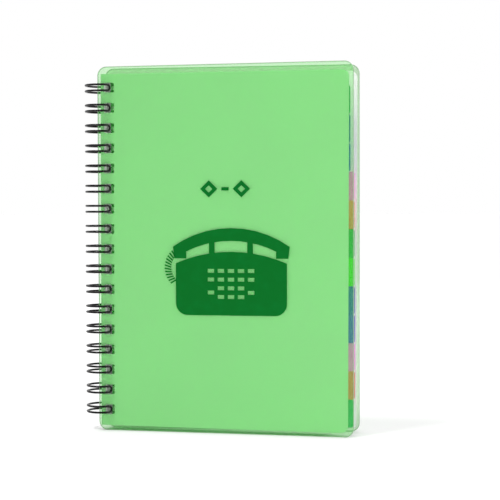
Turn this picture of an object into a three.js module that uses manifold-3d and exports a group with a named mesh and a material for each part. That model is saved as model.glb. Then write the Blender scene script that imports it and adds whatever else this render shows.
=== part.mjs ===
// Twin loop bound address book with translucent covers, standing upright.
// Millimetres. Z is up, the front cover faces -Y and the spine is at -X.
// The front cover's outer face lies at y = 0 and its spine edge at x = 0 until the whole book is centred at the end.

import * as THREE from 'three';
import * as BufferGeometryUtils from 'three/addons/utils/BufferGeometryUtils.js';
import Module from 'manifold-3d';

const wasm = await Module();
wasm.setup();

// Covers
const COVER_OVERHANG = 2.5;
const COVER_FORE_OVERHANG = 2.25;
const COVER_THICKNESS = 0.5;
const COVER_CORNER_RADIUS = 3.8;
const COVER_HOLE_MARGIN = 2.75;
const COVER_HOLE_WIDTH = 3.1;
const BACK_COVER_SHIFT = 1;
const BACK_COVER_SPLAY = THREE.MathUtils.degToRad(3.5);

// Pages
const PAGE_WIDTH = 96;
const TAB_WIDTH = 9;
const LAST_SHEET_EXTRA = 1;
const SHEET_HEIGHT = 148;
const SHEET_THICKNESS = 0.2;
const SHEET_CORNER_RADIUS = 3;
const PAGE_HOLE_MARGIN = 1.8;
const PAGE_HOLE_SIZE = 4;
const PAGE_DROP = 0.5;
const PAGE_SAG = THREE.MathUtils.degToRad(0.2);

// Index leaves lie in loose groups, and each group hangs a little further right or left on the loops
const LEAF_THICKNESS = 0.45;
const LEAF_GROUPS = [
  { leaves: 3, shift: 0.35 },
  { leaves: 8, shift: 1.95 },
  { leaves: 1, shift: 1.3 },
];
const LAST_SHEET_SHIFT = 1.5;
const GROUP_OVERLAP = 0.05;

// Index tabs
const TAB_HEIGHT = 11.7;
const TAB_THICKNESS = 0.3;
const TAB_CORNER_RADIUS = 1;
const TAB_FOOT_MARGIN = 1.3;
const TABS = [
  { name: 'index_tab_ab', color: 0x1f9e4f },
  { name: 'index_tab_cd', color: 0x2a5fc4 },
  { name: 'index_tab_ef', color: 0x4a3fb5 },
  { name: 'index_tab_gh', color: 0xe46fc0 },
  { name: 'index_tab_ij', color: 0xf08a5a },
  { name: 'index_tab_kl', color: 0x0f8f3f },
  { name: 'index_tab_mn', color: 0x8fd21f },
  { name: 'index_tab_op', color: 0x1f3fb0 },
  { name: 'index_tab_qr', color: 0x5a2fc0 },
  { name: 'index_tab_st', color: 0xe868c8 },
  { name: 'index_tab_uv', color: 0xe2603c },
  { name: 'index_tab_wxyz', color: 0x22a050 },
];

// Binding wire
const LOOP_PITCH = 25.4 / 3;
const LOOP_SPACING = 2.5;
const LOOP_END_MARGIN = 6;
const WIRE_DIAMETER = 0.9;
const RING_RADIUS = 6.3;
const RING_AXIS_X = 0;
const TIP_CLEARANCE = 0.15;
const BASE_BEND_RADIUS = 0.9;
const WIRE_STUB = 2;
const WIRE_SIDES = 6;
const LOOP_STEPS = 12;
const BASE_BEND_STEPS = 2;
const TIP_BEND_STEPS = 4;

// Clearances through the stack, from the front cover inwards
const COVER_TO_SHEET = 0.25;
const WIRE_TO_PAPER = 0.1;
const BLOCK_TO_LAST_SHEET = 0.15;

// Points closer than this are one point
const MERGE_DISTANCE = 1e-4;

// Straight pieces in each quarter of a rounded corner
const CORNER_STEPS = 5;
const TAB_CORNER_STEPS = 3;

// Printed telephone
const INK_THICKNESS = 0.1;
const PHONE_CENTRE_X = 57.2;
const PHONE_FOOT_Z = 49.1;
const PHONE_BODY_WIDTH = 47;
const PHONE_SHOULDER_HEIGHT = 21.6;
const PHONE_BODY_HEIGHT = 26.4;
const PHONE_BODY_RADIUS = 5;
const HANDSET_SPAN = 49.4;
const HANDSET_RISE = 36.2;
const HANDSET_GRIP = 5.3;
const HANDSET_CUP_WIDTH = 5.7;
const HANDSET_CUP_FOOT = 23.6;
const HANDSET_END_HEIGHT = 28.5;
const HANDSET_CUP_THICKENING = 2;
const HANDSET_CUP_TAPER = 0.6;
const CRADLE_SPACING = 16.2;
const CRADLE_WIDTH = 2.4;
const KEY_WIDTH = 2.7;
const KEY_HEIGHT = 1.6;
const KEY_PITCH_X = 4.25;
const KEY_PITCH_Z = 3.6;
const KEY_TOP_ROW = 18.5;
const KEY_COLUMNS = 5;
const KEY_CUT_OVERRUN = 0.2;
const INNER_KEY_DROPS = [0, 1, 2, 3];
const OUTER_KEY_DROPS = [0, 1, 2.5];

// Materials
const COVER_FILM = new THREE.MeshStandardMaterial({
  color: 0x7fdc78, roughness: 0.42, metalness: 0, transparent: true, opacity: 0.6,
});
const PAPER = new THREE.MeshStandardMaterial({ color: 0xf6f6f2, roughness: 0.9, metalness: 0 });
const COATED_WIRE = new THREE.MeshStandardMaterial({ color: 0x101012, roughness: 0.35, metalness: 0 });
const INK = new THREE.MeshStandardMaterial({ color: 0x00701f, roughness: 0.5, metalness: 0 });

// Depths through the stack
const wireRadius = WIRE_DIAMETER / 2;
const firstSheetFront = COVER_THICKNESS + COVER_TO_SHEET;
const wireBaseDepth = firstSheetFront + SHEET_THICKNESS + WIRE_TO_PAPER + wireRadius;
const blockFront = wireBaseDepth + wireRadius + WIRE_TO_PAPER;
const leafCount = TABS.length;
const blockBack = blockFront + leafCount * LEAF_THICKNESS;
const lastSheetFront = blockBack + BLOCK_TO_LAST_SHEET;
const backCoverFront = lastSheetFront + SHEET_THICKNESS + COVER_TO_SHEET;
const stackDepth = backCoverFront + COVER_THICKNESS;
const ringAxisY = stackDepth / 2;

// Widths
const holeColumnX = COVER_HOLE_MARGIN + PAGE_HOLE_SIZE / 2;
const pageSpineX = COVER_HOLE_MARGIN - PAGE_HOLE_MARGIN;
const sheetWidth = PAGE_WIDTH + TAB_WIDTH;
const coverWidth = pageSpineX + sheetWidth + COVER_FORE_OVERHANG;

// Heights
const coverHeight = SHEET_HEIGHT + 2 * COVER_OVERHANG;
const pageFootZ = COVER_OVERHANG - PAGE_DROP;
const loopPairs = Math.floor((SHEET_HEIGHT - 2 * LOOP_END_MARGIN) / LOOP_PITCH) + 1;
const firstLoopZ = (coverHeight - (loopPairs - 1) * LOOP_PITCH) / 2;
const loopHeights = Array.from({ length: loopPairs }, (_, i) => firstLoopZ + i * LOOP_PITCH);

// Closed meshes from and to solids
function toSolid(geometry) {
  const bare = geometry.clone();
  bare.deleteAttribute('normal');
  bare.deleteAttribute('uv');
  const merged = BufferGeometryUtils.mergeVertices(bare, MERGE_DISTANCE);
  return new wasm.Manifold(new wasm.Mesh({
    numProp: 3,
    vertProperties: new Float32Array(merged.attributes.position.array),
    triVerts: new Uint32Array(merged.index.array),
  }));
}

function toGeometry(solid) {
  const { vertProperties, triVerts } = solid.getMesh();
  const geometry = new THREE.BufferGeometry();
  geometry.setAttribute('position', new THREE.BufferAttribute(new Float32Array(vertProperties), 3));
  geometry.setIndex(new THREE.BufferAttribute(new Uint32Array(triVerts), 1));
  geometry.computeVertexNormals();
  return geometry;
}

// An outline's points without those that fall on the one before them
function distinct(points) {
  return points.filter((point, i) => {
    const before = points[(i + points.length - 1) % points.length];
    return point.distanceTo(before) > MERGE_DISTANCE;
  });
}

// Flat layers: a shape drawn in x and z, given its thickness along y
function layer(shape, front, thickness, curveSegments = CORNER_STEPS) {
  const { shape: outline, holes } = shape.extractPoints(curveSegments);
  const flat = new THREE.Shape(distinct(outline));
  flat.holes = holes.map((hole) => new THREE.Path(distinct(hole)));
  const geometry = new THREE.ExtrudeGeometry(flat, { depth: thickness, bevelEnabled: false });
  geometry.rotateX(Math.PI / 2);
  geometry.translate(0, front + thickness, 0);
  return geometry;
}

// A rectangle with its own radius at the spine corners and at the fore edge corners
function roundedRectangle(left, bottom, width, height, spineRadius, foreRadius) {
  const right = left + width;
  const top = bottom + height;
  const shape = new THREE.Shape();
  shape.moveTo(left + spineRadius, bottom);
  shape.lineTo(right - foreRadius, bottom);
  if (foreRadius > 0) {
    shape.absarc(right - foreRadius, bottom + foreRadius, foreRadius, -Math.PI / 2, 0);
  }
  shape.lineTo(right, top - foreRadius);
  if (foreRadius > 0) {
    shape.absarc(right - foreRadius, top - foreRadius, foreRadius, 0, Math.PI / 2);
  }
  shape.lineTo(left + spineRadius, top);
  if (spineRadius > 0) {
    shape.absarc(left + spineRadius, top - spineRadius, spineRadius, Math.PI / 2, Math.PI);
  }
  shape.lineTo(left, bottom + spineRadius);
  if (spineRadius > 0) {
    shape.absarc(left + spineRadius, bottom + spineRadius, spineRadius, Math.PI, Math.PI * 1.5);
  }
  return shape;
}

// One square hole for each pair of loops
function punch(shape, holeLeft, holeWidth) {
  for (const z of loopHeights) {
    const bottom = z - PAGE_HOLE_SIZE / 2;
    const hole = new THREE.Path();
    hole.moveTo(holeLeft, bottom);
    hole.lineTo(holeLeft, bottom + PAGE_HOLE_SIZE);
    hole.lineTo(holeLeft + holeWidth, bottom + PAGE_HOLE_SIZE);
    hole.lineTo(holeLeft + holeWidth, bottom);
    hole.closePath();
    shape.holes.push(hole);
  }
  return shape;
}

function coverShape() {
  const outline = roundedRectangle(0, 0, coverWidth, coverHeight, COVER_CORNER_RADIUS, COVER_CORNER_RADIUS);
  return punch(outline, COVER_HOLE_MARGIN, COVER_HOLE_WIDTH);
}

function pageShape(shift, width, cornerRadius) {
  const outline = roundedRectangle(pageSpineX + shift, pageFootZ, width, SHEET_HEIGHT, 0, cornerRadius);
  return punch(outline, COVER_HOLE_MARGIN + shift, PAGE_HOLE_SIZE);
}

// Sideways shift of the leaf at an index, from its group
function leafShift(index) {
  let count = 0;
  for (const group of LEAF_GROUPS) {
    count += group.leaves;
    if (index < count) {
      return group.shift;
    }
  }
  return LEAF_GROUPS[LEAF_GROUPS.length - 1].shift;
}

// The page block joins its groups, which overlap a little in depth
function pageBlockGeometry() {
  let solid = null;
  let depth = blockFront;
  LEAF_GROUPS.forEach((group, i) => {
    const thickness = group.leaves * LEAF_THICKNESS;
    const isLast = i === LEAF_GROUPS.length - 1;
    const shape = pageShape(group.shift, PAGE_WIDTH, 0);
    const part = toSolid(layer(shape, depth, thickness + (isLast ? 0 : GROUP_OVERLAP)));
    solid = solid ? solid.add(part) : part;
    depth += thickness;
  });
  return toGeometry(solid);
}

// A tab stands out of the page block at the middle of its own leaf's thickness
function tabGeometry(index) {
  const left = pageSpineX + leafShift(index) + PAGE_WIDTH;
  const bottom = pageFootZ + TAB_FOOT_MARGIN + (leafCount - 1 - index) * TAB_HEIGHT;
  const shape = roundedRectangle(left, bottom, TAB_WIDTH, TAB_HEIGHT, 0, TAB_CORNER_RADIUS);
  const front = blockFront + index * LEAF_THICKNESS + (LEAF_THICKNESS - TAB_THICKNESS) / 2;
  return layer(shape, front, TAB_THICKNESS, TAB_CORNER_STEPS);
}

// A route that is stepped from point to point, so each bend keeps its own steps
class SteppedRoute extends THREE.Curve {
  constructor(points) {
    super();
    this.points = points;
  }

  getPoint(t, target = new THREE.Vector3()) {
    const place = t * (this.points.length - 1);
    const index = Math.min(Math.floor(place), this.points.length - 2);
    return target.lerpVectors(this.points[index], this.points[index + 1], place - index);
  }

  getPointAt(u, target) {
    return this.getPoint(u, target);
  }

  getTangentAt(u, target = new THREE.Vector3()) {
    const last = this.points.length - 1;
    const index = Math.round(u * last);
    const before = this.points[Math.max(index - 1, 0)];
    const after = this.points[Math.min(index + 1, last)];
    return target.subVectors(after, before).normalize();
  }
}

// The wire drawn flat: arc length round the ring against height
function flatWireRoute() {
  const baseRise = ringAxisY - wireBaseDepth;
  const baseAngle = -Math.asin(baseRise / RING_RADIUS);
  const tipAngle = baseAngle + 2 * Math.PI - (WIRE_DIAMETER + TIP_CLEARANCE) / RING_RADIUS;
  const start = baseAngle * RING_RADIUS;
  const end = tipAngle * RING_RADIUS;
  const half = LOOP_SPACING / 2;
  const points = [];
  const bend = (centreS, centreZ, radius, from, to, steps) => {
    for (let i = 0; i <= steps; i += 1) {
      const angle = from + ((to - from) * i) / steps;
      points.push(new THREE.Vector2(centreS + radius * Math.cos(angle), centreZ + radius * Math.sin(angle)));
    }
  };
  const baseBend = (centreZ, from, to) => {
    bend(start + BASE_BEND_RADIUS, centreZ, BASE_BEND_RADIUS, from, to, BASE_BEND_STEPS);
  };
  const straight = (fromS, toS, z) => {
    for (let i = 1; i < LOOP_STEPS; i += 1) {
      points.push(new THREE.Vector2(fromS + ((toS - fromS) * i) / LOOP_STEPS, z));
    }
  };
  points.push(new THREE.Vector2(start, loopHeights[0] - half - BASE_BEND_RADIUS - WIRE_STUB));
  for (const z of loopHeights) {
    baseBend(z - half - BASE_BEND_RADIUS, Math.PI, Math.PI / 2);
    straight(start + BASE_BEND_RADIUS, end - half, z - half);
    bend(end - half, z, half, -Math.PI / 2, Math.PI / 2, TIP_BEND_STEPS);
    straight(end - half, start + BASE_BEND_RADIUS, z + half);
    baseBend(z + half + BASE_BEND_RADIUS, -Math.PI / 2, -Math.PI);
  }
  const lastLoop = loopHeights[loopHeights.length - 1];
  points.push(new THREE.Vector2(start, lastLoop + half + BASE_BEND_RADIUS + WIRE_STUB));
  return points;
}

// The flat route rolled round the ring's axis
function wireGeometry() {
  const route = flatWireRoute().map(({ x, y }) => {
    const angle = x / RING_RADIUS;
    return new THREE.Vector3(
      RING_AXIS_X + RING_RADIUS * Math.cos(angle),
      ringAxisY + RING_RADIUS * Math.sin(angle),
      y,
    );
  });
  const section = new THREE.Shape();
  for (let i = 0; i < WIRE_SIDES; i += 1) {
    const angle = (2 * Math.PI * i) / WIRE_SIDES;
    const point = [wireRadius * Math.cos(angle), wireRadius * Math.sin(angle)];
    if (i === 0) {
      section.moveTo(...point);
    } else {
      section.lineTo(...point);
    }
  }
  section.closePath();
  return new THREE.ExtrudeGeometry(section, {
    steps: route.length - 1,
    extrudePath: new SteppedRoute(route),
    bevelEnabled: false,
  });
}

// Height of an arc through a crown and two springing points at a distance from its middle
function arcThrough(halfSpan, springing, crown) {
  const rise = crown - springing;
  const radius = (halfSpan * halfSpan + rise * rise) / (2 * rise);
  return { radius, centre: crown - radius, half: Math.asin(halfSpan / radius) };
}

// Telephone body: straight sides, round foot corners and an arched top
function phoneBodyShape() {
  const half = PHONE_BODY_WIDTH / 2;
  const shape = new THREE.Shape();
  const arch = arcThrough(half, PHONE_SHOULDER_HEIGHT, PHONE_BODY_HEIGHT);
  shape.moveTo(-half + PHONE_BODY_RADIUS, 0);
  shape.lineTo(half - PHONE_BODY_RADIUS, 0);
  shape.absarc(half - PHONE_BODY_RADIUS, PHONE_BODY_RADIUS, PHONE_BODY_RADIUS, -Math.PI / 2, 0);
  shape.absarc(0, arch.centre, arch.radius, Math.PI / 2 - arch.half, Math.PI / 2 + arch.half);
  shape.absarc(-half + PHONE_BODY_RADIUS, PHONE_BODY_RADIUS, PHONE_BODY_RADIUS, Math.PI, Math.PI * 1.5);
  return shape;
}

// Middles of the key openings: five columns, and the outer two hold three keys against four
function keyMiddles() {
  const middles = [];
  for (let column = 0; column < KEY_COLUMNS; column += 1) {
    const isOuter = column === 0 || column === KEY_COLUMNS - 1;
    const drops = isOuter ? OUTER_KEY_DROPS : INNER_KEY_DROPS;
    const x = (column - (KEY_COLUMNS - 1) / 2) * KEY_PITCH_X;
    drops.forEach((drop) => middles.push({ x, z: KEY_TOP_ROW - drop * KEY_PITCH_Z }));
  }
  return middles;
}

// Handset: a bow between two cups
function handsetShape() {
  const half = HANDSET_SPAN / 2;
  const inner = half - HANDSET_CUP_WIDTH;
  const outerArc = arcThrough(half, HANDSET_END_HEIGHT, HANDSET_RISE);
  const innerEndHeight = HANDSET_END_HEIGHT - HANDSET_CUP_THICKENING;
  const innerArc = arcThrough(inner, innerEndHeight, HANDSET_RISE - HANDSET_GRIP);
  const shape = new THREE.Shape();
  shape.absarc(0, outerArc.centre, outerArc.radius, Math.PI / 2 - outerArc.half, Math.PI / 2 + outerArc.half);
  shape.lineTo(-half + HANDSET_CUP_TAPER, HANDSET_CUP_FOOT);
  shape.lineTo(-inner, HANDSET_CUP_FOOT);
  shape.absarc(0, innerArc.centre, innerArc.radius, Math.PI / 2 + innerArc.half, Math.PI / 2 - innerArc.half, true);
  shape.lineTo(inner, HANDSET_CUP_FOOT);
  shape.lineTo(half - HANDSET_CUP_TAPER, HANDSET_CUP_FOOT);
  shape.closePath();
  return shape;
}

// Cradle posts between the body's arched top and the handset
function cradleShape(side) {
  const bottom = PHONE_SHOULDER_HEIGHT;
  const height = HANDSET_RISE - HANDSET_GRIP - bottom;
  const left = (side * CRADLE_SPACING) / 2 - CRADLE_WIDTH / 2;
  return roundedRectangle(left, bottom, CRADLE_WIDTH, height, 0, 0);
}

function telephoneGeometry() {
  const shapes = [phoneBodyShape(), handsetShape(), cradleShape(-1), cradleShape(1)];
  const solids = shapes.map((shape) => toSolid(layer(shape, -INK_THICKNESS, INK_THICKNESS)));
  const whole = solids.reduce((joined, solid) => joined.add(solid));
  const cut = keyMiddles().reduce((rest, { x, z }) => {
    const opening = new THREE.BoxGeometry(KEY_WIDTH, 2 * INK_THICKNESS + KEY_CUT_OVERRUN, KEY_HEIGHT);
    opening.translate(x, 0, z);
    return rest.subtract(toSolid(opening));
  }, whole);
  const geometry = toGeometry(cut);
  geometry.translate(PHONE_CENTRE_X, 0, PHONE_FOOT_Z);
  return geometry;
}

function named(name, geometry, material) {
  const mesh = new THREE.Mesh(geometry, material);
  mesh.name = name;
  return mesh;
}

// Assembly
const book = new THREE.Group();

book.add(named('front_cover', layer(coverShape(), 0, COVER_THICKNESS), COVER_FILM));
book.add(named('telephone_print', telephoneGeometry(), INK));
book.add(named('wire_binding', wireGeometry(), COATED_WIRE));

// The pages sag a little at the fore edge, turned about the middle of the hole column
const pages = new THREE.Group();
const sagPivot = new THREE.Group();
sagPivot.position.set(holeColumnX, 0, coverHeight / 2);
sagPivot.rotation.y = PAGE_SAG;
pages.position.set(-holeColumnX, 0, -coverHeight / 2);
sagPivot.add(pages);
book.add(sagPivot);

const firstSheet = pageShape(0, sheetWidth, SHEET_CORNER_RADIUS);
const lastSheet = pageShape(LAST_SHEET_SHIFT, sheetWidth + LAST_SHEET_EXTRA, SHEET_CORNER_RADIUS);
pages.add(named('first_sheet', layer(firstSheet, firstSheetFront, SHEET_THICKNESS), PAPER));
pages.add(named('page_block', pageBlockGeometry(), PAPER));
pages.add(named('last_sheet', layer(lastSheet, lastSheetFront, SHEET_THICKNESS), PAPER));
TABS.forEach(({ name, color }, index) => {
  const card = new THREE.MeshStandardMaterial({ color, roughness: 0.6, metalness: 0 });
  pages.add(named(name, tabGeometry(index), card));
});

// The back cover stands a little open, turned about the ring's axis
const backSwing = new THREE.Group();
const backCover = named('back_cover', layer(coverShape(), backCoverFront, COVER_THICKNESS), COVER_FILM);
backSwing.position.set(RING_AXIS_X, ringAxisY, 0);
backSwing.rotation.z = BACK_COVER_SPLAY;
backCover.position.set(BACK_COVER_SHIFT - RING_AXIS_X, -ringAxisY, 0);
backSwing.add(backCover);
book.add(backSwing);

// The origin is the middle of the book's foot
const bounds = new THREE.Box3().setFromObject(book, true);
const centre = bounds.getCenter(new THREE.Vector3());
book.position.set(-centre.x, -centre.y, 0);

const addressBook = new THREE.Group();
addressBook.add(book);

export default addressBook;
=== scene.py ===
"""Address book with translucent green covers, a black twin loop binding and coloured index tabs.

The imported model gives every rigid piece. This script dresses it, draws the binding wire finely,
prints the cover and sets the studio and the camera.
"""

import logging
import math
from dataclasses import dataclass, field
from enum import Enum

import bmesh
import bpy
from mathutils import Matrix, Vector


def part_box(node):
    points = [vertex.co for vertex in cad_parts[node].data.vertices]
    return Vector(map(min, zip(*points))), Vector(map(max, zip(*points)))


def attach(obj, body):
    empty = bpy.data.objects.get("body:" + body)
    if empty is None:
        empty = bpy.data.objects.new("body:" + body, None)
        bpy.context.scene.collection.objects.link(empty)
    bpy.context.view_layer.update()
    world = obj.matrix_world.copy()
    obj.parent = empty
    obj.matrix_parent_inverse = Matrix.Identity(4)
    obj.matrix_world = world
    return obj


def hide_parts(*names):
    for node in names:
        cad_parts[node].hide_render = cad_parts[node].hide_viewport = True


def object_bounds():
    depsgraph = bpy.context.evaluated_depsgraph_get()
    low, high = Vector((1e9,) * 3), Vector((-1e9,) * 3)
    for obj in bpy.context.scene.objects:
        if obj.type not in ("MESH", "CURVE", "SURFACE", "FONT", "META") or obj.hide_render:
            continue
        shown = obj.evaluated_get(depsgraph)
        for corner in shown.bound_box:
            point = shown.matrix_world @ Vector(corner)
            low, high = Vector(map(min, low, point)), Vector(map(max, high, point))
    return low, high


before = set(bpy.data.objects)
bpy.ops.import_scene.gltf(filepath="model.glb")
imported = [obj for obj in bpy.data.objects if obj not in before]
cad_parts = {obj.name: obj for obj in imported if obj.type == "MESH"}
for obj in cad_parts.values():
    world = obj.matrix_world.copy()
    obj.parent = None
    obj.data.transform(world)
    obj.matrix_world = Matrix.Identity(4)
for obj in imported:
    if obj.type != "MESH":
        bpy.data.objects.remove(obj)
CAD_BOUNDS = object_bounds()

MM = 0.001
WHITE = (1.0, 1.0, 1.0, 1.0)
FACE_TURN = 0.5
LOG = logging.getLogger("address_book")


def linear(hex_colour: str) -> tuple[float, float, float, float]:
    """Turns an sRGB hex colour into the linear colour that shaders take.

    Args:
        hex_colour: six hex digits, with or without a leading mark.

    Returns:
        Linear red, green and blue with an alpha of 1.
    """
    digits = hex_colour.lstrip("#")
    channels = [int(digits[i:i + 2], 16) / 255 for i in (0, 2, 4)]
    red, green, blue = (c / 12.92 if c <= 0.04045 else ((c + 0.055) / 1.055) ** 2.4
                        for c in channels)
    return (red, green, blue, 1.0)


def add_node(tree: bpy.types.NodeTree, kind: str, settings: dict | None = None,
             **inputs) -> bpy.types.Node:
    """Adds a node, sets its properties and fills or links its inputs.

    Args:
        tree: the node tree that gets the node.
        kind: the node's type name.
        settings: properties of the node, such as its operation.
        inputs: values or sockets by input name, with _ for a space, or in_0 for the first input.

    Returns:
        The new node.
    """
    node = tree.nodes.new(kind)
    for name, value in (settings or {}).items():
        setattr(node, name, value)
    for name, value in inputs.items():
        numbered = name.startswith("in_")
        socket = node.inputs[int(name[3:])] if numbered else node.inputs[name.replace("_", " ")]
        if isinstance(value, bpy.types.NodeSocket):
            tree.links.new(value, socket)
        else:
            socket.default_value = value
    return node


def calculate(tree: bpy.types.NodeTree, operation: str, *values) -> bpy.types.NodeSocket:
    """Adds a maths node and gives its result.

    Args:
        tree: the node tree.
        operation: the node's operation.
        values: numbers or sockets, in the order of the node's inputs.

    Returns:
        The result's socket.
    """
    inputs = {f"in_{i}": value for i, value in enumerate(values)}
    return add_node(tree, "ShaderNodeMath", {"operation": operation}, **inputs).outputs[0]


def calculate_vector(tree: bpy.types.NodeTree, operation: str, *values) -> bpy.types.NodeSocket:
    """Adds a vector maths node and gives its result.

    Args:
        tree: the node tree.
        operation: the node's operation.
        values: vectors or sockets, in the order of the node's inputs.

    Returns:
        The result's socket, a number for LENGTH and a vector otherwise.
    """
    inputs = {f"in_{i}": value for i, value in enumerate(values)}
    node = add_node(tree, "ShaderNodeVectorMath", {"operation": operation}, **inputs)
    return node.outputs["Value" if operation == "LENGTH" else "Vector"]


def blend(tree: bpy.types.NodeTree, share, first, second,
          mode: str = "MIX") -> bpy.types.NodeSocket:
    """Blends two colours.

    Args:
        tree: the node tree.
        share: how much of the second colour shows.
        first: a colour or socket.
        second: a colour or socket.
        mode: the blend's type.

    Returns:
        The blended colour's socket.
    """
    return add_node(tree, "ShaderNodeMix", {"data_type": "RGBA", "blend_type": mode},
                    in_0=share, in_6=first, in_7=second).outputs[2]


def mix_shaders(tree: bpy.types.NodeTree, share, first: bpy.types.Node,
                second: bpy.types.Node) -> bpy.types.Node:
    """Mixes two shaders.

    Args:
        tree: the node tree.
        share: how much of the second shader shows.
        first: the first shader's node.
        second: the second shader's node.

    Returns:
        The mixing node.
    """
    return add_node(tree, "ShaderNodeMixShader", in_0=share, in_1=first.outputs[0],
                    in_2=second.outputs[0])


def fit(tree: bpy.types.NodeTree, value, given: tuple[float, float],
        wanted: tuple[float, float]) -> bpy.types.NodeSocket:
    """Fits a value from one range into another, and holds it there.

    Args:
        tree: the node tree.
        value: a number or socket.
        given: the range that the value comes in.
        wanted: the range that it is fitted to.

    Returns:
        The fitted value's socket.
    """
    return add_node(tree, "ShaderNodeMapRange", Value=value, From_Min=given[0], From_Max=given[1],
                    To_Min=wanted[0], To_Max=wanted[1]).outputs[0]


def noise(tree: bpy.types.NodeTree, scale: float, detail: float) -> bpy.types.NodeSocket:
    """Adds noise that is fixed to the object.

    Args:
        tree: the node tree.
        scale: patches to the metre.
        detail: how many finer layers the noise has.

    Returns:
        The noise's socket, from 0 to 1.
    """
    place = add_node(tree, "ShaderNodeTexCoord")
    return add_node(tree, "ShaderNodeTexNoise", Vector=place.outputs["Object"], Scale=scale,
                    Detail=detail).outputs["Fac"]


def relief(tree: bpy.types.NodeTree, height: bpy.types.NodeSocket, strength: float,
           depth: float) -> bpy.types.NodeSocket:
    """Gives the normal of a slightly uneven skin.

    Args:
        tree: the node tree.
        height: the unevenness.
        strength: how much of it shows.
        depth: its depth in metres.

    Returns:
        The normal's socket.
    """
    return add_node(tree, "ShaderNodeBump", Strength=strength, Distance=depth,
                    Height=height).outputs[0]


def front_turn(tree: bpy.types.NodeTree) -> bpy.types.NodeSocket:
    """Gives 1 on a face that looks straight forward or back, and 0 on a cut edge.

    Args:
        tree: the node tree.

    Returns:
        The turn's socket.
    """
    normal = add_node(tree, "ShaderNodeNewGeometry")
    parts = add_node(tree, "ShaderNodeSeparateXYZ", Vector=normal.outputs["True Normal"])
    return calculate(tree, "ABSOLUTE", parts.outputs["Y"])


def new_material(name: str) -> tuple[bpy.types.Material, bpy.types.NodeTree]:
    """Makes an empty material.

    Args:
        name: the material's name.

    Returns:
        The material and its node tree.
    """
    material = bpy.data.materials.new(name)
    material.use_nodes = True
    material.node_tree.nodes.clear()
    return material, material.node_tree


def show(tree: bpy.types.NodeTree, shader: bpy.types.Node) -> None:
    """Makes a shader the material's surface.

    Args:
        tree: the material's node tree.
        shader: the last shader's node.
    """
    add_node(tree, "ShaderNodeOutputMaterial", Surface=shader.outputs[0])


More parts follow.
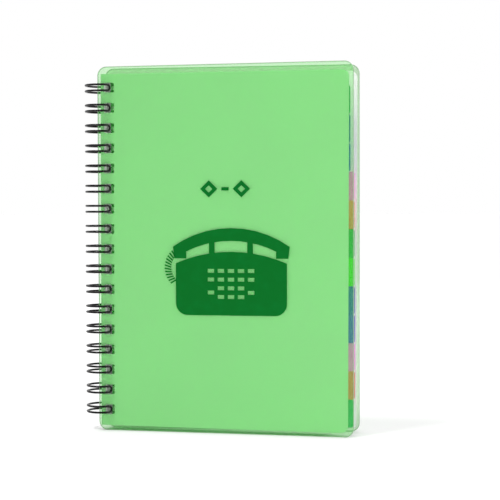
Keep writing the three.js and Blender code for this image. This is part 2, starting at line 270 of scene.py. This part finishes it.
@dataclass(frozen=True)
class FrostedFilm:
    """Extruded polypropylene sheet, dyed green, with a fine frosted face."""

    name: str
    see_through: str = "#f2fbf0"
    lit_through: str = "#dff6de"
    scatter: str = "#38f93f"
    # Painted light: the pale colour of the rim and cut edge round the outline
    edge: str = "#a6c4a2"
    # Painted shade: the deep green of the hole walls
    shaded_hole_wall: str = "#1f9a33"
    scatter_share: float = 0.12
    edge_scatter_share: float = 0.6
    sent_through: float = 0.2
    rim_width: float = 0.45 * MM
    corner_radius: float = 3.8 * MM
    ior: float = 1.49
    roughness: float = 0.38
    grain_size: float = 0.35 * MM
    grain_detail: float = 2.0
    grain_strength: float = 0.12
    grain_depth: float = 0.02 * MM
    cloud_scale: float = 38.0
    cloud_detail: float = 3.0
    cloud_noise: tuple[float, float] = (0.3, 0.7)
    cloud_tone: tuple[float, float] = (0.94, 1.04)

    def rim(self, tree: bpy.types.NodeTree, low: Vector, high: Vector) -> bpy.types.NodeSocket:
        """Gives 1 on a narrow rim round the sheet's outline, which is painted pale as if lit, and
        0 inside it.

        Args:
            tree: the film's node tree.
            low: the sheet's lowest corner.
            high: the sheet's highest corner.

        Returns:
            The rim's strength.
        """
        middle = (low + high) / 2
        inner = (high - low) / 2 - Vector((self.corner_radius, 0, self.corner_radius))
        place = add_node(tree, "ShaderNodeTexCoord").outputs["Object"]
        flat = calculate_vector(tree, "MULTIPLY", place, (1, 0, 1))
        moved = calculate_vector(tree, "SUBTRACT", flat, (middle.x, 0, middle.z))
        folded = calculate_vector(tree, "ABSOLUTE", moved)
        past = calculate_vector(tree, "SUBTRACT", folded, (inner.x, 0, inner.z))
        kept = calculate_vector(tree, "MAXIMUM", past, (0, 0, 0))
        reach = calculate_vector(tree, "LENGTH", kept)
        start = self.corner_radius - self.rim_width
        return fit(tree, reach, (start, start + self.rim_width / 2), (0.0, 1.0))

    def body(self, tree: bpy.types.NodeTree, plain: bpy.types.NodeSocket,
             rim: bpy.types.NodeSocket) -> bpy.types.NodeSocket:
        """Colours what the film scatters.

        Args:
            tree: the film's node tree.
            plain: 1 on the faces inside the rim, and 0 on rim and cut edges.
            rim: the rim's strength.

        Returns:
            The colour's socket.
        """
        # Painted light and shade on the cut edges: pale on the outline as if it caught light from
        # outside, deep green in the holes as if in their shade
        lit_rim_and_shaded_walls = blend(tree, rim, linear(self.shaded_hole_wall), linear(self.edge))
        colour = blend(tree, plain, lit_rim_and_shaded_walls, linear(self.scatter))
        # Thickness varies slowly over the extruded sheet, which mottles its tone
        cloud = noise(tree, self.cloud_scale, self.cloud_detail)
        tone = fit(tree, cloud, self.cloud_noise, self.cloud_tone)
        return blend(tree, 1.0, colour, tone, "MULTIPLY")

    def gloss_share(self, tree: bpy.types.NodeTree,
                    normal: bpy.types.NodeSocket) -> bpy.types.NodeSocket:
        """Gives how much of the light the skin mirrors, once for each crossing of the sheet.

        Args:
            tree: the film's node tree.
            normal: the skin's normal.

        Returns:
            The share's socket.
        """
        grazing = add_node(tree, "ShaderNodeFresnel", IOR=self.ior, Normal=normal)
        side = add_node(tree, "ShaderNodeNewGeometry")
        outside = calculate(tree, "SUBTRACT", 1.0, side.outputs["Backfacing"])
        return calculate(tree, "MULTIPLY", grazing.outputs[0], outside)

    def build(self, low: Vector, high: Vector) -> bpy.types.Material:
        """Builds the film: part clear and tinted, part scattering, under a soft gloss.

        Args:
            low: the sheet's lowest corner.
            high: the sheet's highest corner.

        Returns:
            The finished material.
        """
        material, tree = new_material(self.name)
        # The embossed grain of the roll, real size, softens the highlights
        grain = noise(tree, 1 / self.grain_size, self.grain_detail)
        normal = relief(tree, grain, self.grain_strength, self.grain_depth)
        is_face = calculate(tree, "GREATER_THAN", front_turn(tree), FACE_TURN)
        rim = self.rim(tree, low, high)
        plain = calculate(tree, "MAXIMUM", calculate(tree, "SUBTRACT", is_face, rim), 0.0)
        colour = self.body(tree, plain, rim)
        # Light that reaches the paper crosses the film more than once, so it comes out deeper
        path = add_node(tree, "ShaderNodeLightPath")
        tint = blend(tree, path.outputs["Is Camera Ray"], linear(self.lit_through),
                     linear(self.see_through))
        clear = add_node(tree, "ShaderNodeBsdfTransparent", Color=tint)
        face = add_node(tree, "ShaderNodeBsdfDiffuse", Color=colour, Normal=normal)
        through = add_node(tree, "ShaderNodeBsdfTranslucent", Color=colour, Normal=normal)
        scattered = mix_shaders(tree, self.sent_through, face, through)
        haze = fit(tree, plain, (0.0, 1.0), (self.edge_scatter_share, self.scatter_share))
        film = mix_shaders(tree, haze, clear, scattered)
        gloss = add_node(tree, "ShaderNodeBsdfGlossy", Roughness=self.roughness, Normal=normal)
        show(tree, mix_shaders(tree, self.gloss_share(tree, normal), film, gloss))
        return material


@dataclass(frozen=True)
class Paper:
    """Uncoated paper, guillotined, whose stacked edges get a fine line of painted shade between
    leaves.
    """

    name: str
    colour: str = "#f4f5f3"
    # Painted shade: the grey of the gaps between leaves
    line: str = "#c9cdc9"
    leaf_pitch: float = 0.24 * MM
    line_share: float = 0.3
    wander_scale: float = 60.0
    wander_detail: float = 1.0
    wander_reach: float = 0.35 * MM
    fibre_scale: float = 900.0
    fibre_detail: float = 3.0
    fibre_strength: float = 0.08
    fibre_depth: float = 0.05 * MM
    roughness: float = 0.85
    specular: float = 0.25

    def leaf_lines(self, tree: bpy.types.NodeTree) -> bpy.types.NodeSocket:
        """Gives 1 on the lines of painted shade between leaves, which show on cut edges alone.

        Args:
            tree: the paper's node tree.

        Returns:
            The lines' socket.
        """
        place = add_node(tree, "ShaderNodeTexCoord")
        where = add_node(tree, "ShaderNodeSeparateXYZ", Vector=place.outputs["Object"])
        # Leaves are drawn two at a time, because single ones are too fine to show
        wander = noise(tree, self.wander_scale, self.wander_detail)
        drift = calculate(tree, "MULTIPLY_ADD", wander, self.wander_reach, where.outputs["Y"])
        phase = calculate(tree, "FRACT", calculate(tree, "DIVIDE", drift, self.leaf_pitch))
        # The gaps between leaves get painted shade
        gap_shade = calculate(tree, "LESS_THAN", phase, self.line_share)
        is_edge = calculate(tree, "LESS_THAN", front_turn(tree), FACE_TURN)
        return calculate(tree, "MULTIPLY", gap_shade, is_edge)

    def build(self) -> bpy.types.Material:
        """Builds the paper with its fibre and the painted shade of the lines between leaves.

        Returns:
            The finished material.
        """
        material, tree = new_material(self.name)
        colour = blend(tree, self.leaf_lines(tree), linear(self.colour), linear(self.line))
        fibre = noise(tree, self.fibre_scale, self.fibre_detail)
        show(tree, add_node(tree, "ShaderNodeBsdfPrincipled", Base_Color=colour,
                            Roughness=self.roughness, Specular_IOR_Level=self.specular,
                            Normal=relief(tree, fibre, self.fibre_strength, self.fibre_depth)))
        return material


@dataclass(frozen=True)
class PrintedCard:
    """Coloured offset print on card, with the paper's white showing faintly through."""

    name: str
    colour: str
    speckle_scale: float = 1400.0
    speckle_detail: float = 2.0
    speckle_noise: tuple[float, float] = (0.35, 0.75)
    most_white: float = 0.12
    roughness: float = 0.55

    def build(self) -> bpy.types.Material:
        """Builds the printed colour, a little uneven as ink on uncoated card is.

        Returns:
            The finished material.
        """
        material, tree = new_material(self.name)
        speckle = noise(tree, self.speckle_scale, self.speckle_detail)
        bare = fit(tree, speckle, self.speckle_noise, (0.0, self.most_white))
        show(tree, add_node(tree, "ShaderNodeBsdfPrincipled", Roughness=self.roughness,
                            Base_Color=blend(tree, bare, linear(self.colour), WHITE)))
        return material


@dataclass(frozen=True)
class NylonCoat:
    """Steel wire with a black nylon coat, baked on, which leaves soft lengthwise highlights."""

    name: str
    colour: str = "#050506"
    roughness: float = 0.26
    specular: float = 0.28
    peel_scale: float = 3000.0
    peel_detail: float = 1.0
    peel_strength: float = 0.15
    peel_depth: float = 0.01 * MM

    def build(self) -> bpy.types.Material:
        """Builds the coat, with the faint orange peel of a baked powder.

        Returns:
            The finished material.
        """
        material, tree = new_material(self.name)
        peel = noise(tree, self.peel_scale, self.peel_detail)
        show(tree, add_node(tree, "ShaderNodeBsdfPrincipled", Base_Color=linear(self.colour),
                            Roughness=self.roughness, Specular_IOR_Level=self.specular,
                            Normal=relief(tree, peel, self.peel_strength, self.peel_depth)))
        return material


@dataclass(frozen=True)
class ScreenInk:
    """Opaque dark green screen ink, too thin a layer on the film to cast a shadow of its own."""

    name: str
    colour: str = "#006c22"
    thin: str = "#00762c"
    patch_scale: float = 260.0
    patch_detail: float = 3.0
    patch_noise: tuple[float, float] = (0.45, 0.8)
    most_thin: float = 0.5
    roughness: float = 0.5
    specular: float = 0.08

    def build(self) -> bpy.types.Material:
        """Builds the ink, a little thinner in places, as a screened layer dries.

        Returns:
            The finished material.
        """
        material, tree = new_material(self.name)
        patches = noise(tree, self.patch_scale, self.patch_detail)
        thin = fit(tree, patches, self.patch_noise, (0.0, self.most_thin))
        ink = add_node(tree, "ShaderNodeBsdfPrincipled", Roughness=self.roughness,
                       Specular_IOR_Level=self.specular,
                       Base_Color=blend(tree, thin, linear(self.colour), linear(self.thin)))
        path = add_node(tree, "ShaderNodeLightPath")
        passed = add_node(tree, "ShaderNodeBsdfTransparent")
        show(tree, mix_shaders(tree, path.outputs["Is Shadow Ray"], ink, passed))
        return material


def dress(node: str, material: bpy.types.Material) -> None:
    """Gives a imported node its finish.

    Args:
        node: the node's name.
        material: its finish.
    """
    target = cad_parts[node]
    target.data.materials.clear()
    target.data.materials.append(material)


def add_object(name: str, data: bpy.types.ID) -> bpy.types.Object:
    """Makes an object at the origin and links it.

    Args:
        name: the object's name.
        data: its mesh, curve, lamp or camera.

    Returns:
        The new object.
    """
    made = bpy.data.objects.new(name, data)
    bpy.context.collection.objects.link(made)
    return made


def take_mesh(drawn: bpy.types.Object) -> bpy.types.Mesh:
    """Takes the finished mesh off a helper object, and removes the helper.

    Args:
        drawn: a curve object, or an object with a modifier.

    Returns:
        The mesh that it showed.
    """
    graph = bpy.context.evaluated_depsgraph_get()
    mesh = bpy.data.meshes.new_from_object(drawn.evaluated_get(graph))
    bpy.data.objects.remove(drawn)
    return mesh


def flat_mesh(name: str, outlines: list[list[tuple[float, float]]], front: float,
              thickness: float,
              holes: list[list[tuple[float, float]]] | None = None) -> bpy.types.Object:
    """Makes thin solids from outlines drawn in x and z.

    Args:
        name: the object's name.
        outlines: closed outlines in metres.
        front: the y of the front face.
        thickness: how deep the solids go from there.
        holes: closed outlines cut out of them.

    Returns:
        A mesh object at the origin with its faces pointing outwards.
    """
    curve = bpy.data.curves.new(name + "_outline", "CURVE")
    curve.dimensions = "2D"
    curve.fill_mode = "BOTH"
    for outline in outlines + (holes or []):
        spline = curve.splines.new("POLY")
        spline.points.add(len(outline) - 1)
        for point, (x, z) in zip(spline.points, outline):
            point.co = (x, z, 0, 1)
        spline.use_cyclic_u = True
    curve.extrude = thickness / 2
    mesh = take_mesh(add_object(name + "_drawn", curve))
    mesh.name = name
    upright = Matrix.Rotation(math.pi / 2, 4, "X")
    mesh.transform(Matrix.Translation((0, front + thickness / 2, 0)) @ upright)
    close_outwards(mesh)
    return add_object(name, mesh)


def close_outwards(mesh: bpy.types.Mesh, reach: float = 1e-6) -> None:
    """Merges doubled points and turns every face outwards.

    Args:
        mesh: the mesh to mend.
        reach: how near, in metres, points are one.
    """
    work = bmesh.new()
    work.from_mesh(mesh)
    bmesh.ops.remove_doubles(work, verts=work.verts, dist=reach)
    bmesh.ops.recalc_face_normals(work, faces=work.faces)
    work.to_mesh(mesh)
    work.free()


class TabColour(Enum):
    """Printed colours of the index tabs, from the top of the fore edge to its foot."""

    AB = ("index_tab_ab", "#12a45c")
    CD = ("index_tab_cd", "#1c5fa0")
    EF = ("index_tab_ef", "#2038bc")
    GH = ("index_tab_gh", "#ff7ae0")
    IJ = ("index_tab_ij", "#f48c66")
    KL = ("index_tab_kl", "#00b444")
    MN = ("index_tab_mn", "#48ea10")
    OP = ("index_tab_op", "#1040b0")
    QR = ("index_tab_qr", "#4a35cc")
    ST = ("index_tab_st", "#fb84e4")
    UV = ("index_tab_uv", "#ea7a5c")
    WXYZ = ("index_tab_wxyz", "#18b868")

    @property
    def node(self) -> str:
        """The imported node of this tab."""
        return self.value[0]

    @property
    def colour(self) -> str:
        """The printed colour as sRGB hex."""
        return self.value[1]


@dataclass
class Covers:
    """The two covers of frosted film."""

    films: dict[str, FrostedFilm] = field(default_factory=lambda: {
        "front_cover": FrostedFilm("frosted_green_polypropylene_front"),
        # Same film as the front; the back's greyer, darker scatter colour and larger scatter
        # share are painted shade, as it stands in the book's shade
        "back_cover": FrostedFilm("frosted_green_polypropylene_back_shaded", scatter="#82bb7b",
                                  scatter_share=0.24),
    })

    def build(self) -> None:
        """Dresses each cover in its film."""
        for node, film in self.films.items():
            low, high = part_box(node)
            dress(node, film.build(Vector(low), Vector(high)))


@dataclass
class Leaves:
    """The sheets, the page block and the index tabs."""

    sheets: tuple[str, ...] = ("first_sheet", "page_block", "last_sheet")
    paper: Paper = Paper("uncoated_white_paper")

    def build(self) -> None:
        """Dresses the paper and each tab in its own printed colour."""
        material = self.paper.build()
        for node in self.sheets:
            dress(node, material)
        for tab in TabColour:
            dress(tab.node, PrintedCard("printed_card_" + tab.name.lower(), tab.colour).build())


@dataclass
class Binding:
    """One wire bent into pairs of loops and closed round the stack."""

    wire_diameter: float = 0.9 * MM
    ring_radius: float = 6.3 * MM
    ring_from_cover_edge: float = 0.0
    ring_from_cover_face: float = 4.275 * MM
    loop_pairs: int = 17
    loop_pitch: float = 25.4 / 3 * MM
    loop_spacing: float = 2.5 * MM
    base_bend: float = 0.9 * MM
    base_depth: float = 1.5 * MM
    tip_clearance: float = 0.15 * MM
    arc_steps: int = 44
    bend_steps: int = 6
    wire_sides: int = 12
    join_reach: float = 0.01 * MM
    coat: NylonCoat = NylonCoat("black_nylon_coated_steel")

    def flat_route(self) -> list[tuple[float, float]]:
        """Draws one pair of loops flat, from half a pitch below its middle to half a pitch above.

        Returns:
            Points of arc length round the ring against height.
        """
        base = -math.asin((self.ring_from_cover_face - self.base_depth) / self.ring_radius)
        turn = 2 * math.pi - (self.wire_diameter + self.tip_clearance) / self.ring_radius
        start = base * self.ring_radius
        end = (base + turn) * self.ring_radius
        half = self.loop_spacing / 2
        bend = self.base_bend
        points = [(start, -self.loop_pitch / 2)]

        def arc(centre: tuple[float, float], radius: float, begin: float, finish: float,
                steps: int) -> None:
            """Adds an arc's points."""
            for i in range(steps + 1):
                angle = begin + (finish - begin) * i / steps
                points.append((centre[0] + radius * math.cos(angle),
                               centre[1] + radius * math.sin(angle)))

        def straight(begin: float, finish: float, height: float) -> None:
            """Adds the points of a straight stretch between its ends."""
            for i in range(1, self.arc_steps):
                points.append((begin + (finish - begin) * i / self.arc_steps, height))

        arc((start + bend, -half - bend), bend, math.pi, math.pi / 2, self.bend_steps)
        straight(start + bend, end - half, -half)
        arc((end - half, 0), half, -math.pi / 2, math.pi / 2, self.bend_steps * 2)
        straight(end - half, start + bend, half)
        arc((start + bend, half + bend), bend, -math.pi / 2, -math.pi, self.bend_steps)
        points.append((start, self.loop_pitch / 2))
        return points

    def route_object(self, axis: Vector) -> bpy.types.Object:
        """Rolls the flat route round the ring's axis.

        Args:
            axis: the ring's axis at the height of the lowest pair.

        Returns:
            A mesh object of edges only.
        """
        points = []
        for length, height in self.flat_route():
            angle = length / self.ring_radius
            points.append(axis + Vector((self.ring_radius * math.cos(angle),
                                         self.ring_radius * math.sin(angle), height)))
        mesh = bpy.data.meshes.new("wire_route")
        mesh.from_pydata(points, [(i, i + 1) for i in range(len(points) - 1)], [])
        return add_object("wire_binding_drawn", mesh)

    def loops_tree(self,
                   material: bpy.types.Material) -> tuple[bpy.types.NodeTree, dict[str, str]]:
        """Builds the nodes that give the route its wire and repeat it up the spine.

        Args:
            material: the wire's finish.

        Returns:
            The node tree and the identifiers of its named inputs.
        """
        tree = bpy.data.node_groups.new("twin_loops", "GeometryNodeTree")
        face = tree.interface
        face.new_socket("Geometry", in_out="INPUT", socket_type="NodeSocketGeometry")
        names = {"Wire Radius": "NodeSocketFloat", "Pairs": "NodeSocketInt",
                 "Pitch": "NodeSocketFloat", "Wire Sides": "NodeSocketInt"}
        ids = {name: face.new_socket(name, in_out="INPUT", socket_type=kind).identifier
               for name, kind in names.items()}
        face.new_socket("Geometry", in_out="OUTPUT", socket_type="NodeSocketGeometry")
        given = add_node(tree, "NodeGroupInput")
        result = add_node(tree, "NodeGroupOutput")
        curve = add_node(tree, "GeometryNodeMeshToCurve", Mesh=given.outputs["Geometry"])
        section = add_node(tree, "GeometryNodeCurvePrimitiveCircle",
                           Resolution=given.outputs["Wire Sides"],
                           Radius=given.outputs["Wire Radius"])
        wire = add_node(tree, "GeometryNodeCurveToMesh", Curve=curve.outputs[0],
                        Profile_Curve=section.outputs["Curve"])
        smooth = add_node(tree, "GeometryNodeSetShadeSmooth", Geometry=wire.outputs[0])
        step = add_node(tree, "ShaderNodeCombineXYZ", Z=given.outputs["Pitch"])
        places = add_node(tree, "GeometryNodeMeshLine", Count=given.outputs["Pairs"],
                          Offset=step.outputs[0])
        copies = add_node(tree, "GeometryNodeInstanceOnPoints", Points=places.outputs[0],
                          Instance=smooth.outputs[0])
        real = add_node(tree, "GeometryNodeRealizeInstances", Geometry=copies.outputs[0])
        joined = add_node(tree, "GeometryNodeMergeByDistance", Geometry=real.outputs[0],
                          Distance=self.join_reach)
        dressed = add_node(tree, "GeometryNodeSetMaterial", Geometry=joined.outputs[0],
                           Material=material)
        tree.links.new(dressed.outputs[0], result.inputs["Geometry"])
        return tree, ids

    def build(self) -> bpy.types.Object:
        """Makes the wire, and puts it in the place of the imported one.

        Returns:
            The finished wire.
        """
        low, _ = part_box("front_cover")
        wire_low, wire_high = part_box("wire_binding")
        first = (wire_low[2] + wire_high[2]) / 2 - (self.loop_pairs - 1) * self.loop_pitch / 2
        axis = Vector((low[0] + self.ring_from_cover_edge, low[1] + self.ring_from_cover_face,
                       first))
        drawn = self.route_object(axis)
        tree, ids = self.loops_tree(self.coat.build())
        loops = drawn.modifiers.new("loops", "NODES")
        loops.node_group = tree
        loops[ids["Wire Radius"]] = self.wire_diameter / 2
        loops[ids["Pairs"]] = self.loop_pairs
        loops[ids["Pitch"]] = self.loop_pitch
        loops[ids["Wire Sides"]] = self.wire_sides
        mesh = take_mesh(drawn)
        close_outwards(mesh)
        wire = add_object("twin_loop_wire", mesh)
        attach(wire, "pages_and_wire")
        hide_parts("wire_binding")
        return wire


@dataclass
class CoverPrint:
    """The print on the front cover: the telephone, its coiled lead and an ornament above."""

    ink: ScreenInk = ScreenInk("dark_green_screen_ink")
    ink_thickness: float = 0.1 * MM
    ornament_centre_x: float = 54.8 * MM
    ornament_centre_z: float = 101.5 * MM
    lozenge_width: float = 7.3 * MM
    lozenge_height: float = 7.1 * MM
    lozenge_window: float = 0.42
    lozenge_offset: float = 6.9 * MM
    dash_width: float = 3.1 * MM
    dash_height: float = 1.4 * MM
    lead_centre: tuple[float, float] = (38.5 * MM, 68.9 * MM)
    lead_radius: float = 8.2 * MM
    lead_from: float = math.radians(135)
    lead_to: float = math.radians(225)
    lead_bars: int = 12
    bar_length: float = 2.9 * MM
    bar_width: float = 0.58 * MM
    bar_tilt: float = math.radians(-14)

    def at(self, x: float, z: float) -> tuple[float, float]:
        """Turns a place on the cover into the frame's x and z.

        Args:
            x: metres from the cover's spine edge.
            z: metres from its foot.

        Returns:
            The frame's x and z.
        """
        low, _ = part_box("front_cover")
        return (low[0] + x, low[2] + z)

    def lozenge(self, centre_x: float, size: float) -> list[tuple[float, float]]:
        """Draws a lozenge round a point of the ornament's middle line.

        Args:
            centre_x: metres from the cover's spine edge.
            size: 1 for the outline, less for its window.

        Returns:
            The lozenge's corners.
        """
        half_w = self.lozenge_width / 2 * size
        half_h = self.lozenge_height / 2 * size
        z = self.ornament_centre_z
        corners = [(centre_x - half_w, z), (centre_x, z - half_h),
                   (centre_x + half_w, z), (centre_x, z + half_h)]
        return [self.at(*corner) for corner in corners]

    def ornament(self, front: float) -> bpy.types.Object:
        """Makes two open lozenges with a dash between them.

        Args:
            front: the y of the print's front face.

        Returns:
            The ornament.
        """
        outlines = []
        holes = []
        for side in (-1, 1):
            middle = self.ornament_centre_x + side * self.lozenge_offset
            outlines.append(self.lozenge(middle, 1.0))
            holes.append(self.lozenge(middle, self.lozenge_window))
        w, h = self.dash_width / 2, self.dash_height / 2
        x, z = self.ornament_centre_x, self.ornament_centre_z
        dash = ((x - w, z - h), (x + w, z - h), (x + w, z + h), (x - w, z + h))
        outlines.append([self.at(*corner) for corner in dash])
        return flat_mesh("lozenge_ornament", outlines, front, self.ink_thickness, holes)

    def lead(self, front: float) -> bpy.types.Object:
        """Makes the telephone's coiled lead as short bars along an arc.

        Args:
            front: the y of the print's front face.

        Returns:
            The lead.
        """
        outlines = []
        for i in range(self.lead_bars):
            angle = self.lead_from + (self.lead_to - self.lead_from) * i / (self.lead_bars - 1)
            middle = Vector((self.lead_centre[0] + self.lead_radius * math.cos(angle),
                             self.lead_centre[1] + self.lead_radius * math.sin(angle)))
            along = Vector((math.cos(angle + self.bar_tilt), math.sin(angle + self.bar_tilt)))
            across = Vector((-along.y, along.x))
            along *= self.bar_length / 2
            across *= self.bar_width / 2
            corners = [middle - along - across, middle + along - across,
                       middle + along + across, middle - along + across]
            outlines.append([self.at(corner.x, corner.y) for corner in corners])
        return flat_mesh("telephone_lead", outlines, front, self.ink_thickness)

    def build(self) -> list[bpy.types.Object]:
        """Dresses the telephone and prints the rest.

        Returns:
            The printed pieces that aren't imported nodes.
        """
        material = self.ink.build()
        dress("telephone_print", material)
        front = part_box("front_cover")[0][1] - self.ink_thickness
        pieces = [self.ornament(front), self.lead(front)]
        for piece in pieces:
            piece.data.materials.append(material)
            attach(piece, "front_cover_body")
        return pieces


@dataclass
class PhotoCamera:
    """The camera, placed from the photograph's perspective."""

    frame_pixels: float = 500.0
    focal_pixels: float = 1329.0
    distance: float = 560 * MM
    aside: float = 63.9 * MM
    height: float = 92.8 * MM
    yaw: float = math.radians(11.73)
    pitch: float = math.radians(1.73)
    roll: float = math.radians(0.16)
    sensor_width: float = 36.0
    nearest: float = 0.01

    def build(self) -> bpy.types.Object:
        """Makes the camera and sets it as the scene's.

        Returns:
            The camera object.
        """
        low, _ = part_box("front_cover")
        c, s = math.cos(self.yaw), math.sin(self.yaw)
        place = Vector((low[0] + self.aside * c + self.distance * s,
                        low[1] + self.aside * s - self.distance * c, self.height))
        ahead = Vector((-s * math.cos(self.pitch), c * math.cos(self.pitch),
                        -math.sin(self.pitch)))
        right = Vector((c, s, 0))
        up = right.cross(ahead)
        turned_right = right * math.cos(self.roll) - up * math.sin(self.roll)
        turned_up = up * math.cos(self.roll) + right * math.sin(self.roll)
        data = bpy.data.cameras.new("photo_camera")
        data.sensor_width = self.sensor_width
        data.lens = self.focal_pixels / self.frame_pixels * self.sensor_width
        data.clip_start = self.nearest
        camera = add_object("photo_camera", data)
        basis = Matrix((turned_right, turned_up, -ahead)).transposed().to_4x4()
        camera.matrix_world = Matrix.Translation(place) @ basis
        bpy.context.scene.camera = camera
        return camera


def hang(data: bpy.types.Light, place: tuple[float, float, float],
         target: Vector) -> bpy.types.Object:
    """Hangs a lamp and turns it to its target.

    Args:
        data: the lamp's data.
        place: where it hangs.
        target: where it shines.

    Returns:
        The lamp.
    """
    lamp = add_object(data.name, data)
    lamp.location = place
    lamp.rotation_euler = (target - lamp.location).to_track_quat("-Z", "Y").to_euler()
    return lamp


@dataclass(frozen=True)
class SoftBox:
    """One soft lamp, aimed at the middle of the book."""

    name: str
    place: tuple[float, float, float]
    size: float
    power: float

    def build(self, target: Vector) -> bpy.types.Object:
        """Makes the lamp.

        Args:
            target: where it shines.

        Returns:
            The lamp.
        """
        data = bpy.data.lights.new(self.name, "AREA")
        data.shape = "SQUARE"
        data.size = self.size
        data.energy = self.power
        return hang(data, self.place, target)


@dataclass(frozen=True)
class DistantLamp:
    """A far lamp with a broad face, whose shadow is soft and alike all over the floor."""

    name: str
    comes_from: tuple[float, float, float]
    spread: float
    strength: float

    def build(self) -> bpy.types.Object:
        """Makes the lamp, whose light crosses the origin.

        Returns:
            The lamp.
        """
        data = bpy.data.lights.new(self.name, "SUN")
        data.angle = self.spread
        data.energy = self.strength
        return hang(data, self.comes_from, Vector((0, 0, 0)))


@dataclass
class Studio:
    """A pale floor, a white surround and soft lamps."""

    floor_size: float = 60.0
    floor_white_share: float = 0.4
    floor_glow: float = 1.22
    floor_colour: str = "#f2f2f2"
    # Painted contact shadow: how far round the book the floor's glow is dimmed
    contact_shade_reach: float = 7 * MM
    contact_shade_samples: int = 8
    world_strength: float = 0.55
    front_gleam: float = 0.15
    gleam_depth: tuple[float, float] = (-0.4, 0.3)
    key: DistantLamp = DistantLamp("key_lamp", (-0.31, -0.31, 0.95), math.radians(12), 1.52)
    lamps: tuple[SoftBox, ...] = field(default_factory=lambda: (
        SoftBox("fill_lamp", (0.85, -0.4, 0.35), 0.6, 3.8),
        SoftBox("back_lamp", (0.1, 0.8, 0.6), 0.7, 3.2),
    ))

    def seen_share(self, tree: bpy.types.NodeTree) -> bpy.types.NodeSocket:
        """Gives 1 for what the camera sees, straight or in gloss, and 0 for light.

        Args:
            tree: the node tree.

        Returns:
            The share's socket.
        """
        path = add_node(tree, "ShaderNodeLightPath").outputs
        straight = calculate(tree, "MAXIMUM", path["Is Camera Ray"], path["Is Glossy Ray"])
        return calculate(tree, "MAXIMUM", straight, path["Is Transmission Ray"])

    def floor(self) -> bpy.types.Object:
        """Makes the floor, which keeps the book's shadow, and a painted contact shadow where the
        book stands close on it.

        Returns:
            The floor.
        """
        half = self.floor_size / 2
        corners = [(-half, -half, 0), (half, -half, 0), (half, half, 0), (-half, half, 0)]
        mesh = bpy.data.meshes.new("pale_floor")
        mesh.from_pydata(corners, [], [(0, 1, 2, 3)])
        plane = add_object("pale_floor", mesh)
        material, tree = new_material("pale_floor_paint")
        matt = add_node(tree, "ShaderNodeBsdfDiffuse", Color=linear(self.floor_colour))
        # Painted contact shadow: where the book stands close on it, the floor's glow is dimmed,
        # so it is darker
        contact_shade = add_node(tree, "ShaderNodeAmbientOcclusion", {"samples": self.contact_shade_samples},
                           Distance=self.contact_shade_reach)
        glow = calculate(tree, "MULTIPLY", contact_shade.outputs["AO"], self.floor_glow)
        white = add_node(tree, "ShaderNodeEmission", Color=WHITE, Strength=glow)
        share = calculate(tree, "MULTIPLY", self.seen_share(tree), self.floor_white_share)
        show(tree, mix_shaders(tree, share, matt, white))
        mesh.materials.append(material)
        return plane

    def gleam(self, tree: bpy.types.NodeTree) -> bpy.types.NodeSocket:
        """Gives how bright gloss sees the surround: white behind the book, dim in front of it.

        Args:
            tree: the surround's node tree.

        Returns:
            The brightness, which is 1 for what the camera sees straight.
        """
        place = add_node(tree, "ShaderNodeTexCoord")
        parts = add_node(tree, "ShaderNodeSeparateXYZ", Vector=place.outputs["Generated"])
        depth = fit(tree, parts.outputs["Y"], self.gleam_depth, (self.front_gleam, 1.0))
        path = add_node(tree, "ShaderNodeLightPath")
        return calculate(tree, "MAXIMUM", depth, path.outputs["Is Camera Ray"])

    def world(self) -> None:
        """Sets the surround: white where it is seen, softer where it lights."""
        world = bpy.data.worlds.new("white_surround")
        bpy.context.scene.world = world
        world.use_nodes = True
        tree = world.node_tree
        tree.nodes.clear()
        light = add_node(tree, "ShaderNodeBackground", Color=WHITE, Strength=self.world_strength)
        white = add_node(tree, "ShaderNodeBackground", Color=WHITE, Strength=self.gleam(tree))
        mixed = mix_shaders(tree, self.seen_share(tree), light, white)
        add_node(tree, "ShaderNodeOutputWorld", Surface=mixed.outputs[0])

    def build(self, target: Vector) -> None:
        """Makes the floor, the surround and the lamps.

        Args:
            target: where the near lamps shine.
        """
        self.floor()
        self.world()
        self.key.build()
        for lamp in self.lamps:
            lamp.build(target)


def set_colour_management() -> None:
    """Shows colours as they are written."""
    bpy.context.scene.view_settings.view_transform = "Standard"


def main() -> None:
    """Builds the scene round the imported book."""
    logging.basicConfig(level=logging.INFO)
    set_colour_management()
    camera = PhotoCamera().build()
    LOG.info("camera at %s", tuple(round(v, 4) for v in camera.location))
    Covers().build()
    LOG.info("covers dressed")
    Leaves().build()
    LOG.info("leaves dressed")
    wire = Binding().build()
    LOG.info("%s has %d faces", wire.name, len(wire.data.polygons))
    for piece in CoverPrint().build():
        LOG.info("%s has %d faces", piece.name, len(piece.data.polygons))
    low, high = CAD_BOUNDS
    Studio().build((Vector(low) + Vector(high)) / 2)


if __name__ == "__main__":
    main()
